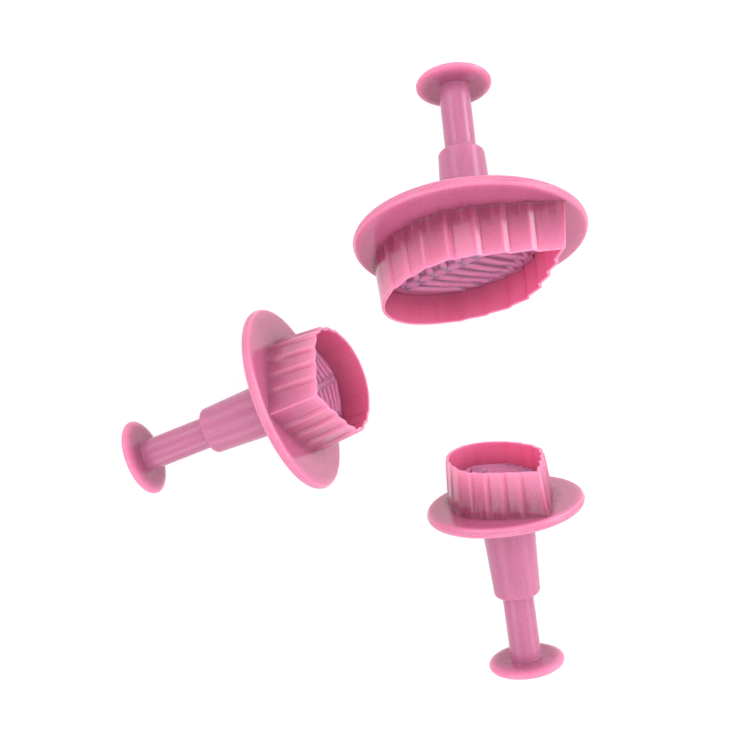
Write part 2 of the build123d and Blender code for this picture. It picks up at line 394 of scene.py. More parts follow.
def plate_painted_shading(sizes, mould, plate):
    """Painted shading of a plate: painted shade between its veins, and middling on top of
    them.
    """
    edge = mould.flange_thickness + sizes.ring_height - sizes.plate_recess
    heights = edge - plate.vein_height * np.array([1, 0.7, 0])

    def painted_shading(points):
        # Painted shade between the veins, middling on their tops
        shading = np.interp(points[:, 2], heights, [0.6 * MIDDLING, 0.75 * MIDDLING, 1.1 * MIDDLING])
        return shading, np.zeros(len(points))

    return painted_shading


def even_painted_shading(points):
    """The same middling level of painted shading all over, and no painted glow."""
    return np.full(len(points), MIDDLING), np.zeros(len(points))


# The leaf


def leaf_side(sizes, form):
    """The smooth edge of half a leaf from its tip to its base, its outward way, and its run.

    From tip to widest place it is a cubic curve with a handle at each end; from there to
    the base it is a quarter of an ellipse.
    """
    half_length, half_width = sizes.leaf_length / 2, sizes.leaf_width / 2
    t = np.linspace(0, 1, 400)[:, None]
    tip = np.array([half_length, 0])
    tip_handle = np.array([half_length * (1 - form.tip_reach), half_width * form.tip_rise])
    shoulder_handle = np.array([half_length * (1 - form.shoulder_reach), half_width])
    widest = np.array([0, half_width])
    front = (
        (1 - t) ** 3 * tip + 3 * (1 - t) ** 2 * t * tip_handle
        + 3 * (1 - t) * t**2 * shoulder_handle + t**3 * widest
    )
    angle = np.linspace(np.pi / 2, np.pi, 400)[1:]
    back = np.column_stack([half_length * np.cos(angle), half_width * np.sin(angle)])
    side = np.concatenate([front, back])
    way = np.gradient(side, axis=0)
    way /= np.linalg.norm(way, axis=1, keepdims=True)
    outward = np.column_stack([way[:, 1], -way[:, 0]])
    steps = np.linalg.norm(np.diff(side, axis=0), axis=1)
    run = np.concatenate([[0], np.cumsum(steps)])
    return side, outward, run


def beside(side, outward, run, at, out):
    """The points at distances along the side, moved outwards from the leaf by out."""
    columns = [
        np.interp(at, run, side[:, i]) + out * np.interp(at, run, outward[:, i]) for i in (0, 1)
    ]
    return np.column_stack(columns)


def leaf_corners(sizes, form, inset):
    """Corners of the toothed leaf with its edge moved in by inset, once round from the tip.

    A tooth rises from its notch by a short step and falls back slowly to the next notch.
    The base has no teeth and follows its ellipse.
    """
    side, outward, run = leaf_side(sizes, form)
    pitch = run[-1] * form.toothed / (form.teeth + 1)
    notch = pitch * np.arange(1, form.teeth + 1)
    faded = np.clip(np.arange(form.teeth) - 2, 0, None) / max(form.teeth - 3, 1)
    depth = pitch * form.tooth_depth * (1 - (1 - form.tooth_fade) * faded)
    at = np.column_stack([notch, notch + pitch * form.tooth_step]).ravel()
    out = np.column_stack([np.zeros(form.teeth), depth]).ravel() - inset
    teeth = beside(side, outward, run, at, out)

    first_notch = beside(side, outward, run, np.array([pitch]), 0)[0]
    half_length, half_width = sizes.leaf_length / 2, sizes.leaf_width / 2
    tip_half_angle = np.arctan2(first_notch[1], half_length - first_notch[0])
    tip = np.array([[half_length - inset / np.sin(tip_half_angle), 0]])

    last = beside(side, outward, run, np.array([pitch * (form.teeth + 1)]), 0)[0]
    last_angle = np.arctan2(last[1] / half_width, last[0] / half_length)
    angle = np.linspace(last_angle, 2 * np.pi - last_angle, 121)
    base = np.column_stack([
        (half_length - inset) * np.cos(angle), (half_width - inset) * np.sin(angle),
    ])
    return np.concatenate([tip, teeth, base, teeth[::-1] * [1, -1], tip])


def softened(points, radius, spacing):
    """Closed curves with their corners rounded: each point is averaged with its neighbours
    under a bell-shaped window about as wide as the radius."""
    reach = int(np.ceil(2 * radius / spacing))
    away = np.arange(-reach, reach + 1)
    window = np.exp(-3 * (away * spacing / radius) ** 2)
    window /= window.sum()
    return sum(weight * np.roll(points, step, axis=0) for weight, step in zip(window, away))


def leaf_outline(sizes, form, insets, fades=0):
    """Closed outlines of the toothed leaf, one for each inset, with matching points.

    The corners are joined by straight runs. Then crests are rounded softly and notches
    sharply, with a bell-shaped passage between the two round each crest. A fade from 0 to 1
    takes the outline over to one whose teeth are smoothed away.
    """
    plain = leaf_corners(sizes, form, 0)
    steps = np.linalg.norm(np.diff(plain, axis=0), axis=1)
    run = np.concatenate([[0], np.cumsum(steps)])
    at = np.linspace(0, run[-1], OUTLINE_STEPS, endpoint=False)
    crests = run[2 : 2 * form.teeth + 1 : 2]
    crests = np.concatenate([crests, run[-1] - crests])
    to_crest = np.abs(at[:, None] - crests).min(axis=1)
    soft = np.exp(-((to_crest / form.crest_radius) ** 2))[:, None]
    moved = leaf_corners(sizes, form, 1 * MM) - plain
    curves, smooth = [], []
    for corners in (plain, moved):
        points = np.column_stack([np.interp(at, run, corners[:, i]) for i in (0, 1)])
        sharp = softened(points, form.notch_radius, at[1])
        curves.append(sharp + soft * (softened(points, form.crest_radius, at[1]) - sharp))
        smooth.append(softened(points, form.root_softness, at[1]))
    insets = np.asarray(insets)[:, None, None] / MM
    fades = np.broadcast_to(fades, len(insets))[:, None, None]
    toothed, toothless = (outline + insets * shift for outline, shift in (curves, smooth))
    return toothed + fades * (toothless - toothed)


def outline_bends(sizes, form):
    """How sharply the leaf's outline bends at each of its points.

    It is near 1 on a crest and at the tip, near -1 in a notch, and 0 on a straight run. The
    change of direction is softened along the outline and then squeezed by tanh.
    """
    outline = leaf_outline(sizes, form, [0])[0]
    way = np.roll(outline, -1, axis=0) - outline
    heading = np.unwrap(np.arctan2(way[:, 1], way[:, 0]))
    turn = np.diff(heading, append=heading[0] + 2 * np.pi) - 2 * np.pi / OUTLINE_STEPS
    spacing = np.linalg.norm(way, axis=1).mean()
    bend = softened(turn[:, None], BEND_SOFTNESS, spacing)[:, 0] / spacing
    return np.tanh(bend * BEND_SCALE)


def placed_rows(sizes, plan, heights):
    """Plan curves turned as the leaf is turned, each at its height."""
    cos, sin = np.cos(sizes.leaf_turn), np.sin(sizes.leaf_turn)
    x = plan[..., 0] * cos - plan[..., 1] * sin
    y = plan[..., 0] * sin + plan[..., 1] * cos
    z = np.broadcast_to(np.asarray(heights)[:, None], x.shape)
    return np.stack([x, y, z], axis=-1)


# Where each cutter is


def press_joint(size):
    """The frame's slide joint of one cutter."""
    return next(joint for joint in frame["joints"] if joint["name"] == size + "_press")


def cutter_place(size, sizes, mould):
    """The flange's back of one cutter, with +Z towards its cutting edge.

    The frame gives the slide's direction and the middle of the knob's face; X is level.
    """
    mounts = frame["record"]["mounts"]
    knob = next(mount for mount in mounts if mount["name"] == size + "_knob_face")
    along = Vector(press_joint(size)["axis"]).normalized()
    level = Vector((-along.y, along.x, 0)).normalized()
    reach = mould.barrel_length + shaft_showing(sizes, mould) + mould.knob_thickness
    origin = Vector(knob["pos_m"]) + along * reach
    turn = Matrix((level, along.cross(level), along)).transposed()
    return Matrix.Translation(origin) @ turn.to_4x4()


def shaft_showing(sizes, mould):
    """How much of the shaft stands out behind the barrel at rest."""
    ring = mould.barrel_length + mould.flange_thickness + sizes.ring_height
    return mould.knob_to_veins - (ring - sizes.plate_recess)


def shaft_inner_end(sizes, mould):
    """Height of the shaft's inner end over the flange's back."""
    return mould.shaft_length - mould.barrel_length - shaft_showing(sizes, mould)


def plate_face(sizes, mould, plate):
    """Height of the plate's flat face, under the veins, over the flange's back."""
    return mould.flange_thickness + sizes.ring_height - sizes.plate_recess - plate.vein_height


# Materials


def add_node(tree, kind, place, inputs=(), **settings):
    """A shader node with its settings, values and links."""
    node = tree.nodes.new(kind)
    node.location = place
    for name, value in settings.items():
        setattr(node, name, value)
    for name, value in dict(inputs).items():
        if isinstance(value, bpy.types.NodeSocket):
            tree.links.new(value, node.inputs[name])
        else:
            node.inputs[name].default_value = value
    return node


def calculate(tree, place, operation, *values):
    """The result of a math node on values and outputs."""
    node = add_node(tree, "ShaderNodeMath", place, enumerate(values), operation=operation)
    return node.outputs[0]


def ranged(tree, place, value, low=0, high=1, start=0, end=1, smooth=False):
    """An output, taken from the range low to high over to the range start to end."""
    node = add_node(tree, "ShaderNodeMapRange", place, {
        "Value": value, "From Min": low, "From Max": high, "To Min": start, "To Max": end},
        interpolation_type="SMOOTHSTEP" if smooth else "LINEAR")
    return node.outputs["Result"]


def new_group(name, inputs, outputs):
    """An empty shader node group with named sockets, and its input and output nodes."""
    group = bpy.data.node_groups.new(name, "ShaderNodeTree")
    for socket, kind, value in inputs:
        made = group.interface.new_socket(socket, in_out="INPUT", socket_type=kind)
        made.default_value = value
    for socket, kind in outputs:
        group.interface.new_socket(socket, in_out="OUTPUT", socket_type=kind)
    entry = add_node(group, "NodeGroupInput", (-900, 0))
    leave = add_node(group, "NodeGroupOutput", (700, 0))
    return group, entry, leave


def moulded_surface_group():
    """Surface of a moulding: its height, its slow change of tone, its mottling, and dust.

    Waves are a smooth noise of about four millimetres. Drag lines are a noise of half a
    millimetre across the draw of the mould and many times that along it. Grain is a noise
    of a quarter of a millimetre, and the mottling one of half a millimetre.
    """
    group, entry, leave = new_group(
        "Moulded surface",
        [("Vector", "NodeSocketVector", (0, 0, 0)), ("Waves", "NodeSocketFloat", 1),
         ("Drag lines", "NodeSocketFloat", 0.3), ("Grain", "NodeSocketFloat", 0.1)],
        [("Height", "NodeSocketFloat"), ("Tone", "NodeSocketFloat"),
         ("Streaks", "NodeSocketFloat"), ("Mottling", "NodeSocketFloat"),
         ("Dust", "NodeSocketFloat")],
    )
    vector = entry.outputs["Vector"]
    along = add_node(group, "ShaderNodeMapping", (-700, 60), {
        "Vector": vector, "Scale": (1, 1, 0.04)}).outputs["Vector"]

    def noise(row, source, scale, detail, roughness=0.5):
        return add_node(group, "ShaderNodeTexNoise", (-480, 400 - 240 * row), {
            "Vector": source, "Scale": scale, "Detail": detail, "Roughness": roughness,
        }).outputs[0]

    height = 0
    for row, (name, source, scale, detail) in enumerate((
        ("Waves", vector, 260, 1), ("Drag lines", along, 1500, 2), ("Grain", vector, 4200, 2),
    )):
        height = calculate(
            group, (-260 + 120 * row, 400 - 240 * row), "MULTIPLY_ADD",
            noise(row, source, scale, detail), entry.outputs[name], height)
    dust = add_node(group, "ShaderNodeTexVoronoi", (-480, -800), {
        "Vector": vector, "Scale": 240, "Randomness": 1})
    speck = ranged(group, (-260, -800), dust.outputs["Distance"], 0.06, 0.02, smooth=True)
    rare = add_node(group, "ShaderNodeSeparateColor", (-260, -1040), {
        "Color": dust.outputs["Color"]}).outputs["Red"]
    chosen = calculate(group, (-60, -1040), "GREATER_THAN", rare, 0.95)
    for socket, value in (
        ("Height", height), ("Tone", noise(3, vector, 60, 2)),
        ("Streaks", noise(4, along, 620, 2, 0.6)), ("Mottling", noise(7, vector, 1900, 1)),
        ("Dust", calculate(group, (140, -800), "MULTIPLY", speck, chosen)),
    ):
        group.links.new(value, leave.inputs[socket])
    return group


def mix_colors(tree, place, factor, first, second):
    """A colour between two colours or colour outputs, by a factor."""
    mix = add_node(tree, "ShaderNodeMix", place, data_type="RGBA")
    for socket, value in ((0, factor), (6, first), (7, second)):
        if isinstance(value, bpy.types.NodeSocket):
            tree.links.new(value, mix.inputs[socket])
        else:
            mix.inputs[socket].default_value = value if socket == 0 else (*value, 1)
    return mix.outputs[2]


def marked_material(name, surface, relief, waves, drag_lines, grain):
    """A material with the marks and relief of a moulded surface, in the piece's own frame."""
    material = bpy.data.materials.new(name)
    material.use_nodes = True
    tree = material.node_tree
    shader = tree.nodes["Principled BSDF"]
    local = add_node(tree, "ShaderNodeAttribute", (-1500, 0), attribute_name="local")
    marks = add_node(tree, "ShaderNodeGroup", (-1280, 0), {
        "Vector": local.outputs["Vector"], "Waves": waves, "Drag lines": drag_lines,
        "Grain": grain}, node_tree=surface).outputs
    bump = add_node(tree, "ShaderNodeBump", (-140, -520), {
        "Height": marks["Height"], "Distance": relief, "Strength": 1})
    tree.links.new(bump.outputs["Normal"], shader.inputs["Normal"])
    return material, tree, shader, marks


def pink_plastic(name, surface, look, pink, dull, streaky):
    """Glossy pink plastic that lets light through, with painted light and shade: deep in
    colour where the painted shading is low, as painted shade and partly as thick plastic
    looks, and pale where it is high, as painted light coming through thin plastic.

    Pink is its colour on a usual wall, at the middling level, dull is added to its
    roughness, and streaky is the strength of its lengthwise streaks, which are stronger in
    the painted shade. The glow attribute mixes in painted glow.
    """
    material, tree, shader, marks = marked_material(
        name, surface, look.relief, waves=0.5, drag_lines=0.12 + streaky / 4, grain=0.02)
    shading, glow = (
        add_node(tree, "ShaderNodeAttribute", place, attribute_name=attribute).outputs["Fac"]
        for attribute, place in (("painted_shading", (-1500, -260)), ("glow", (-320, 340)))
    )
    uneven = calculate(tree, (-1040, -120), "MULTIPLY_ADD", marks["Tone"],
                       0.12 + streaky / 2, -0.06 - streaky / 4)
    centred = calculate(tree, (-1220, -300), "SUBTRACT", marks["Streaks"], 0.52)
    # Streaks are stronger in the painted shade, where they break up its edge
    strength = ranged(tree, (-1220, -480), shading, 0, 0.25, streaky + 0.9, streaky, smooth=True)
    streaked = calculate(tree, (-1040, -300), "MULTIPLY", centred, strength)
    mottled = calculate(tree, (-1040, -480), "MULTIPLY_ADD", marks["Mottling"], 0.2, -0.1)
    level = shading
    for column, change in enumerate((uneven, streaked, mottled)):
        level = calculate(tree, (-860 + 80 * column, -200), "ADD", level, change)
    # Painted shade mixes in the deep pink, painted light the pale pink, and the glow attribute
    # painted glow
    shaded_part = ranged(tree, (-520, -60), level, 0, MIDDLING)
    lit_part = ranged(tree, (-520, -320), level, MIDDLING, 1)
    body = mix_colors(tree, (-320, 120), shaded_part, look.shaded_pink, tuple(pink))
    paler = mix_colors(tree, (-140, 120), lit_part, body, look.lit_pink)
    lit = mix_colors(tree, (-60, 340), glow, paler, look.glow_pink)
    dust = calculate(tree, (-320, -120), "MULTIPLY", marks["Dust"], 0.3)
    dusty = mix_colors(tree, (20, 120), dust, lit, DUST_COLOR)
    tree.links.new(dusty, shader.inputs["Base Color"])
    gloss = ranged(tree, (-140, -260), marks["Tone"], 0.25, 0.75,
                   look.roughness + dull - 0.03, look.roughness + dull + 0.04)
    tree.links.new(gloss, shader.inputs["Roughness"])
    for socket, value in (
        ("IOR", 1.53), ("Subsurface Weight", 0.8), ("Subsurface Radius", (1.0, 0.3, 0.45)),
        ("Subsurface Scale", 4 * MM),
    ):
        shader.inputs[socket].default_value = value
    return material


def spring_steel(surface):
    """Drawn steel wire: grey metal with a slightly uneven shine."""
    material, tree, shader, marks = marked_material(
        "Spring steel", surface, 0.02 * MM, waves=0.3, drag_lines=0, grain=0.6)
    tint = mix_colors(tree, (-400, 120), marks["Tone"], *STEEL_GREYS)
    tree.links.new(tint, shader.inputs["Base Color"])
    gloss = ranged(tree, (-560, -160), marks["Streaks"], start=0.24, end=0.42)
    tree.links.new(gloss, shader.inputs["Roughness"])
    shader.inputs["Metallic"].default_value = 1
    return material


def named_material(name):
    """A material of the set, made the first time that it is asked for."""
    if name in bpy.data.materials:
        return bpy.data.materials[name]
    surface = bpy.data.node_groups.get("Moulded surface") or moulded_surface_group()
    if name == "Spring steel":
        return spring_steel(surface)
    look = bpy.context.scene.plastic_look
    pink, dull, streaky = {
        "Pink moulding": (look.pink, 0, 0.14), "Pink barrel": (look.dull_pink, 0.05, 0.3),
        "Pink plunger": (look.dull_pink, 0.05, 0.3), "Pink plate": (look.mauve, 0.2, 0.14),
    }[name]
    return pink_plastic(name, surface, look, pink, dull, streaky)


def finish_piece(piece, material, body, node):
    """Gives a piece its material and its body, and hides the CAD node that it stands for."""
    piece.data.materials.append(named_material(material))
    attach(piece, body)
    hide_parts(node)


# The pieces


def barrel(mould):
    """Profile of the barrel: hollow round out of the flange, taper, rounded end, and bore."""
    end = -mould.barrel_length
    bore = mould.shaft_radius + mould.bore_clearance
    lip, hollow = 0.25 * MM, 0.35 * MM
    wall = mould.barrel_end + (mould.barrel_root - mould.barrel_end) * (
        (mould.barrel_length - hollow) / mould.barrel_length)
    taper_end = (mould.barrel_end, end + 1.1 * mould.barrel_round)
    profile = [
        [(wall + hollow, 0.5 * hollow)],
        arc((wall + hollow, -hollow), hollow, 90, 180),
        straight((wall - 0.02 * MM, -2 * hollow), taper_end, 6),
        arc((mould.barrel_end - mould.barrel_round, end + mould.barrel_round),
            mould.barrel_round, 0, -90),
        arc((bore + lip, end + lip), lip, 270, 180, 5),
        straight((bore, end + 2 * lip), (bore, 0.5 * hollow), 5),
    ]
    return turned(np.concatenate(profile), looped=True)


def ring_and_flange(sizes, form, mould, plate):
    """The ring's wall and the flange as one surface, once round the wall.

    It runs over the flange's face inside the ring, up the ring's inside, over its edge, down
    its outside, through a hollow round in which the teeth end in a smooth line, over the
    flange's face to its rim, and back along its back and the stem's hole. Each row is an
    inset of the leaf, or a circle with its points at the same angles, or a blend of both.
    Returns the rows and, for each point, its level of painted light and shade, which partly
    follows how thick the plastic is, and its painted glow. On the ring's outside, crests get
    painted highlights and notches painted shade, the root gets painted shade and the edge
    painted light. The flange's face gets painted shade next to the ring and a painted
    highlight along its rim. The painted glow on the inside is stronger towards the leaf's
    tip, where its two walls light each other.
    """
    face = mould.flange_thickness
    edge = face + sizes.ring_height
    slope = np.tan(form.draft)
    rounding, hollow, inner_hollow = form.edge_round, form.root_round, 0.5 * MM
    radius = sizes.leaf_length / 2 + mould.flange_margin
    hole, lip = plate.stem_radius + plate.stem_clearance, 0.25 * MM

    inner_root = arc((form.wall + inner_hollow, face + inner_hollow), inner_hollow, 270, 180, 6)
    inner = np.linspace(face + 1.5 * inner_hollow, edge - rounding, 7)[:-1]
    low = face + 1.2 * hollow
    outer = low + (edge - rounding - low) * np.linspace(1, 0, 16)[1:] ** 1.8
    root = arc((-slope * (edge - face) - hollow, face + hollow), hollow, 0, -90, ROOT_STEPS)
    root[:, 0] -= slope * (face - root[:, 1]) * np.linspace(1, 0, ROOT_STEPS)
    walls = np.concatenate([
        inner_root,
        np.column_stack([np.full(len(inner), form.wall), inner]),
        arc((form.wall - rounding, edge - rounding), rounding, 0, 90, 7),
        arc((rounding, edge - rounding), rounding, 90, 180, 7),
        np.column_stack([-slope * (edge - outer), outer]),
        root,
    ])
    rim = parted_rim(radius, 0, face, mould.flange_round, mould.parting_step)[::-1]
    circles = np.concatenate([
        rim,
        straight((radius - 3 * MM, 0), (hole + lip, 0), 4),
        straight((hole, lip), (hole, face - lip), 3),
        [[hole + lip, face]],
    ])
    before, after = 4, 4
    insets = np.concatenate([
        np.full(before, walls[0, 0]), walls[:, 0], np.full(after + len(circles), walls[-1, 0]),
    ])
    radii = np.concatenate([
        np.full(before + len(walls), hole + lip), np.full(after, rim[0, 0]), circles[:, 0],
    ])
    heights = np.concatenate([
        np.full(before, face), walls[:, 1], np.full(after, face), circles[:, 1],
    ])
    roundness = np.concatenate([
        np.linspace(1, 0, before + 2)[1:-1], np.zeros(len(walls)),
        np.linspace(0, 1, after + 2)[1:-1], np.ones(len(circles)),
    ])
    outside = np.arange(len(heights)) >= before + len(walls) - len(root) - len(outer)
    level = np.clip(heights - face, 0, None) / sizes.ring_height
    fades = np.where(
        outside, form.root_share * np.exp(-(level * sizes.ring_height / form.root_fade) ** 2),
        np.interp(level, [0.8, 0.97], [form.inner_softness, 0]),
    )
    outline = leaf_outline(sizes, form, insets, fades)
    smooth_leaf = leaf_outline(sizes, form, [0], 1)[0]
    angle = np.arctan2(smooth_leaf[:, 1], smooth_leaf[:, 0])
    circle = radii[:, None, None] * np.stack([np.cos(angle), np.sin(angle)], axis=-1)
    plan = outline + roundness[:, None, None] * (circle - outline)

    wall_row = roundness == 0
    inside = wall_row & ~outside & (insets > form.wall - 0.5 * rounding)
    # The wall's painted shading goes by height; the flange's face gets painted shade next to the
    # ring, fading out to the middling level
    on_flange = MIDDLING * np.clip(roundness / 0.3, 0, 1)
    shading = np.where(wall_row, np.interp(level, *WALL_PAINTED_SHADING), on_flange)
    # A shade below 1 takes some of the painted shade off the ring's root
    shading = shading + (1 - sizes.shade) * np.clip(MIDDLING - shading, 0, None)
    # Inside, painted light comes through the wall: paler with more glow and towards the edge
    painted_edge_light = np.interp(level, *WALL_PAINTED_LIGHT)
    shading = np.where(inside, MIDDLING * (0.7 + 0.3 * sizes.glow) + painted_edge_light, shading)
    # Painted highlight along the flange's rim
    rim_highlight = np.exp(-((radius - radii) / (0.9 * MM)) ** 2) * (roundness == 1)
    # Painted glow on the ring's inside, stronger towards the leaf's tip
    lit = inside * np.interp(level, *WALL_GLOW)
    toward_tip = smooth_leaf[:, 0] / (sizes.leaf_length / 2)
    glow = lit[:, None] * np.clip(sizes.glow + 0.65 * toward_tip, 0, 1)
    # Painted highlights on the outside's crests and painted shade in its notches, fainter where
    # the painted glow is strong
    lined = wall_row & outside
    lines = lined * np.interp(level, *WALL_PAINTED_LINES) * (1 - 0.5 * sizes.glow)
    shading = (shading + 0.45 * rim_highlight)[:, None] + lines[:, None] * outline_bends(sizes, form)
    return placed_rows(sizes, plan, heights), shading, glow


def rim_painted_shading(radius, low, high):
    """Painted shading of a disc on a shaft: painted shade over the disc, and a painted
    highlight near its rim.

    The shaft is middling.
    """

    def painted_shading(points):
        away = (radius - np.hypot(points[:, 0], points[:, 1])) / (1.6 * MM)
        level = (points[:, 2] > low - 0.2 * MM) & (points[:, 2] < high + 0.2 * MM)
        # Painted shade over the disc, paler near its rim as a painted highlight
        disc = 0.25 + 0.6 * np.exp(-np.clip(away, 0, None) ** 2)
        return np.where(level, disc, MIDDLING), np.zeros(len(points))

    return painted_shading


def knob_and_shaft(sizes, mould, plate):
    """Profile of the plunger from the middle of the knob's face to the socket's floor."""
    inner = shaft_inner_end(sizes, mould)
    knob = inner - mould.shaft_length
    face = knob - mould.knob_thickness
    fillet, chamfer, dimple = 0.4 * MM, 0.4 * MM, 0.18 * MM
    gate, shaft, socket = mould.gate_radius, mould.shaft_radius, plate.stem_radius + 0.02 * MM
    radius, rounding = mould.knob_radius, mould.knob_round
    floor = inner - plate.stem_seat
    crown = arc((0, 0), 1, 0, 90, 16) * [mould.knob_crown, mould.knob_thickness - rounding]
    profile = [
        straight((AXIS_GAP, face + dimple), (gate - 1.1 * dimple, face + dimple), 3),
        arc((gate, face + dimple), dimple, 180, 270, 6),
        straight((gate + 0.4 * MM, face), (radius - 2 * MM, face), 4),
        arc((radius - rounding, face + rounding), rounding, -90, 0),
        crown[1:] + [radius - mould.knob_crown, face + rounding],
        straight((radius - mould.knob_crown - 0.3 * MM, knob), (shaft + 1.5 * fillet, knob), 3),
        arc((shaft + fillet, knob + fillet), fillet, 270, 180),
        straight((shaft, knob + 2 * fillet), (shaft, inner - 1.5 * chamfer), 8),
        arc((shaft - chamfer, inner - chamfer), chamfer, 0, 90, 6),
        straight((socket + 0.2 * MM, inner), (socket, inner - 0.2 * MM)),
        straight((socket, inner - 0.4 * MM), (socket, floor), 4),
        straight((socket - 0.1 * MM, floor), (AXIS_GAP, floor), 3),
    ]
    return turned(np.concatenate(profile), looped=False)


def plate_slab(sizes, form, mould, plate):
    """The leaf-shaped plate: rounded front edge, flat face, and flat back."""
    face = plate_face(sizes, mould, plate)
    back = face - plate.thickness
    side = form.wall + plate.clearance
    rounding = 0.3 * MM
    front = arc((side + rounding, face - rounding), rounding, 180, 90, 6)
    inward = np.linspace(rounding, 1.2 * MM, 3)[1:]
    insets = np.concatenate([[side + 0.2 * MM, side], front[:, 0], side + inward])
    heights = np.concatenate([[back, back + 0.2 * MM], front[:, 1], face + 0 * inward])
    rows = placed_rows(sizes, leaf_outline(sizes, form, insets), heights)
    shrink = np.array([0.75, 0.5, 0.25, 0.02])[:, None, None]
    top = rows[-1] * [1, 1, 0] * shrink + rows[-1] * [0, 0, 1]
    bottom = rows[0] * [1, 1, 0] * shrink[::-1] + rows[0] * [0, 0, 1]
    return np.concatenate([bottom, rows, top]), False


def boss_and_stem(sizes, mould, plate):
    """Profile of the boss and stem behind the plate, from inside the plate to the stem's end."""
    face = plate_face(sizes, mould, plate)
    back = face - plate.thickness
    boss_end = mould.flange_thickness + plate.boss_gap
    stem_end = shaft_inner_end(sizes, mould) - plate.stem_seat + 0.1 * MM
    rounding = 0.2 * MM
    boss, stem = plate.boss_radius, plate.stem_radius
    profile = [
        straight((AXIS_GAP, back + 0.5 * MM), (boss, back + 0.5 * MM), 3),
        straight((boss, back), (boss, boss_end + 2 * rounding), 3),
        arc((boss - rounding, boss_end + rounding), rounding, 0, -90, 6),
        straight((stem + rounding, boss_end), (stem, boss_end - rounding)),
        straight((stem, boss_end - 0.5 * MM), (stem, stem_end + 2 * rounding), 6),
        arc((stem - rounding, stem_end + rounding), rounding, 0, -90, 6),
        straight((stem - 0.5 * MM, stem_end), (AXIS_GAP, stem_end), 3),
    ]
    return turned(np.concatenate(profile), looped=False)


def ridge(path, widths, height, base):
    """A rounded rib carried along a plan path, with round ends.

    Its section stands on a slightly spread foot, has sloping sides and a round top. Within
    half a width of each end it narrows and sinks as a circle does.
    """
    way = np.gradient(path, axis=0)
    way /= np.linalg.norm(way, axis=1, keepdims=True)
    run = np.concatenate([[0], np.cumsum(np.linalg.norm(np.diff(path, axis=0), axis=1))])
    half = np.asarray(widths) / 2
    to_end = np.clip(np.minimum(run, run[-1] - run) / half, 0, 1)
    close = np.sqrt(np.clip(1 - (1 - to_end) ** 2, 1e-3, 1))
    foot = [-0.4, 0, 0.04, 0.2, 0.6, 0.87, 0.97]
    flank = [1.1, 1.1, 1.02, 0.94, 0.85, 0.68, 0.4]
    upwards = np.array([*foot, 1, *foot[::-1]])
    sideways = np.array([*flank, 0, *[-width for width in flank[::-1]]])
    across = np.column_stack([-way[:, 1], way[:, 0]]) * (half * close)[:, None]
    plan = path[:, None, :] + sideways[None, :, None] * across[:, None, :]
    lift = upwards[None, :] * height * close[:, None] ** 0.6
    return np.concatenate([plan, (base + lift)[..., None]], axis=-1), False


def bent_path(start, end, bow, steps=28):
    """Points from start to end on a curve whose middle stands off to the left by bow times
    its length, closer together near the ends."""
    reach = end - start
    middle = (start + end) / 2 + np.array([-reach[1], reach[0]]) * bow
    handle = 2 * middle - (start + end) / 2
    t = ((1 - np.cos(np.linspace(0, np.pi, steps))) / 2)[:, None]
    return (1 - t) ** 2 * start + 2 * (1 - t) * t * handle + t**2 * end


def veins(sizes, form, mould, plate):
    """All raised veins: midrib, side veins and their branches, on both halves of the leaf."""
    side, outward, run = leaf_side(sizes, form)
    half_length = sizes.leaf_length / 2
    base = plate_face(sizes, mould, plate)
    margin = form.wall + plate.vein_margin
    widths = sizes.leaf_length * np.linspace(plate.midrib_width, plate.midrib_tip_width, 60)
    midrib = np.column_stack([
        np.linspace(margin + widths[0] / 2 - half_length, half_length - 2 * margin, 60),
        np.zeros(60),
    ])
    vein_width = sizes.leaf_length * plate.vein_width
    branch_width = sizes.leaf_length * plate.branch_width
    ribs = [ridge(midrib, widths, plate.vein_height, base)]
    inset = -(form.wall + plate.clearance + plate.vein_margin)
    steps = np.linspace(0, 1, plate.veins)
    starts = half_length * (plate.start_tip + (plate.start_base - plate.start_tip) * steps)
    ends = (plate.end_tip + (plate.end_base - plate.end_tip) * steps) * form.toothed
    vein_ends = beside(side, outward, run, run[-1] * ends * (1 - plate.fork_spread), inset)
    branch_ends = beside(side, outward, run, run[-1] * (ends + plate.fork_spread), inset)
    for start, vein_end, branch_end in zip(starts, vein_ends, branch_ends):
        vein = bent_path(np.array([start, 0]), vein_end, plate.vein_bow)
        fork = vein[int(len(vein) * plate.fork)]
        branch = bent_path(fork, branch_end, 0)
        for mirrored in (1, -1):
            flip = np.array([1, mirrored])
            ribs.append(ridge(vein * flip, np.full(len(vein), vein_width),
                              plate.vein_height, base))
            ribs.append(ridge(branch * flip, np.full(len(branch), branch_width),
                              plate.vein_height * 0.97, base))
    cos, sin = np.cos(sizes.leaf_turn), np.sin(sizes.leaf_turn)
    turn = np.array([[cos, sin, 0], [-sin, cos, 0], [0, 0, 1]])
    return [(rows @ turn, looped) for rows, looped in ribs]


def coil(sizes, mould, spring):
    """Round wire wound about Z: a circle carried along an even helix."""
    bore = mould.shaft_radius + mould.bore_clearance
    radius = bore - spring.bore_gap - spring.wire / 2
    low = shaft_inner_end(sizes, mould) + spring.end_gap + spring.wire / 2
    high = -spring.end_gap - spring.wire / 2
    angle = np.linspace(0, 2 * np.pi * spring.turns, 48 * spring.turns + 1)
    height = np.linspace(low, high, len(angle))
    outward = np.column_stack([np.cos(angle), np.sin(angle), np.zeros_like(angle)])
    middle = outward * radius + np.column_stack([0 * angle, 0 * angle, height])
    way = np.gradient(middle, axis=0)
    way /= np.linalg.norm(way, axis=1, keepdims=True)
    third = np.cross(way, outward)
    around = np.linspace(0, 2 * np.pi, 16, endpoint=False)
    cos, sin = (np.asarray(part)[None, :, None] for part in (np.cos(around), np.sin(around)))
    ring = cos * outward[:, None] + sin * third[:, None]
    return middle[:, None] + ring * spring.wire / 2, False


# Operators


